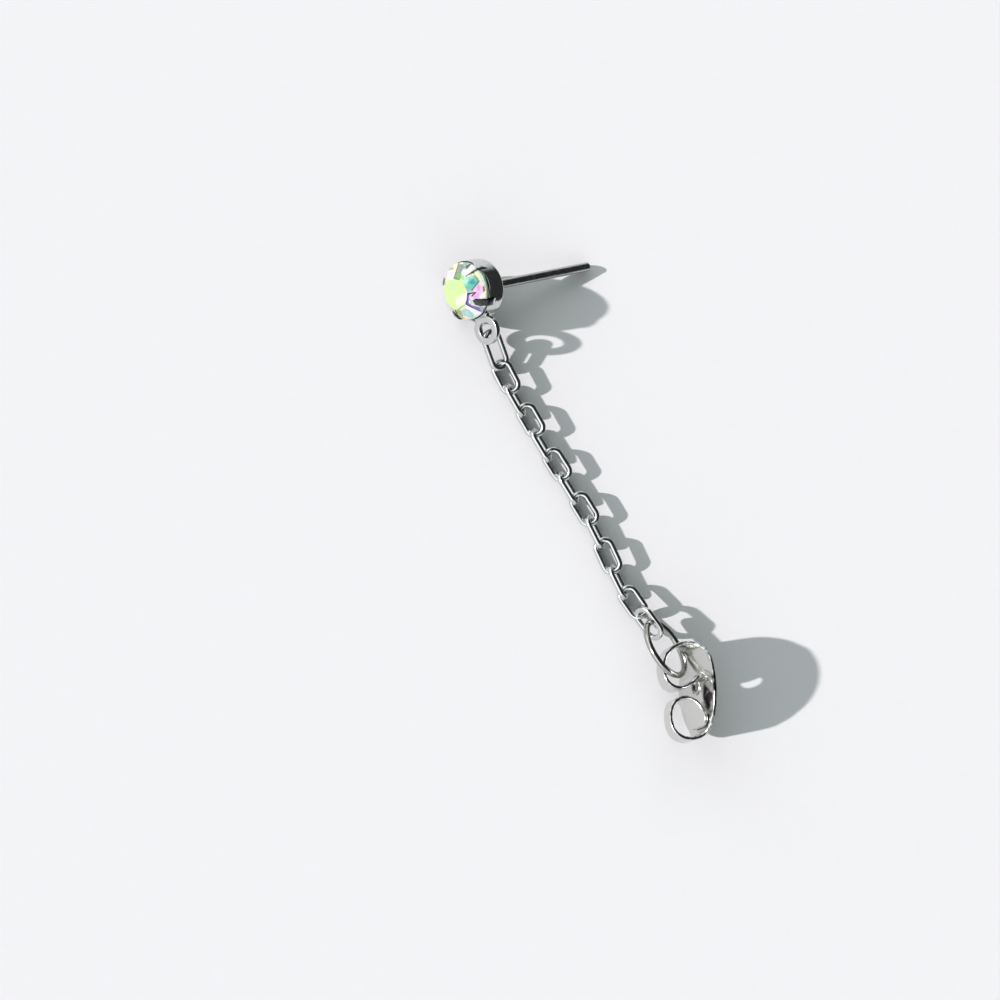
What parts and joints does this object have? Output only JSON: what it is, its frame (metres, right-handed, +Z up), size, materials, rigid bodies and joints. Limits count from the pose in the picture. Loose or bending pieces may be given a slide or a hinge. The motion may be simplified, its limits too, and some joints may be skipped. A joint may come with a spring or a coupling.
{
  "type": "chain earring",
  "caption": "Stud earring with a round faceted stone in a claw cup, a fine cable chain from the cup, and a butterfly ear nut on a jump ring at the chain's end.",
  "frame": {"origin": "middle of the whole earring's box, on the surface that it lies on", "axes": "+Z up from the surface; the chain runs along Y, with the stone at +Y and the ear nut at -Y; the ear post points towards +X"},
  "size_m": [0.0164, 0.036, 0.0047],
  "materials": {
    "plated_metal": "polished rhodium colour",
    "crystal": "faceted, iridescent coating"
  },
  "bodies": {
    "root": {"setting": "plated_metal", "stone": "crystal", "chain": "plated_metal", "jump_ring": "plated_metal", "clutch": "plated_metal"}
  },
  "joints": []
}
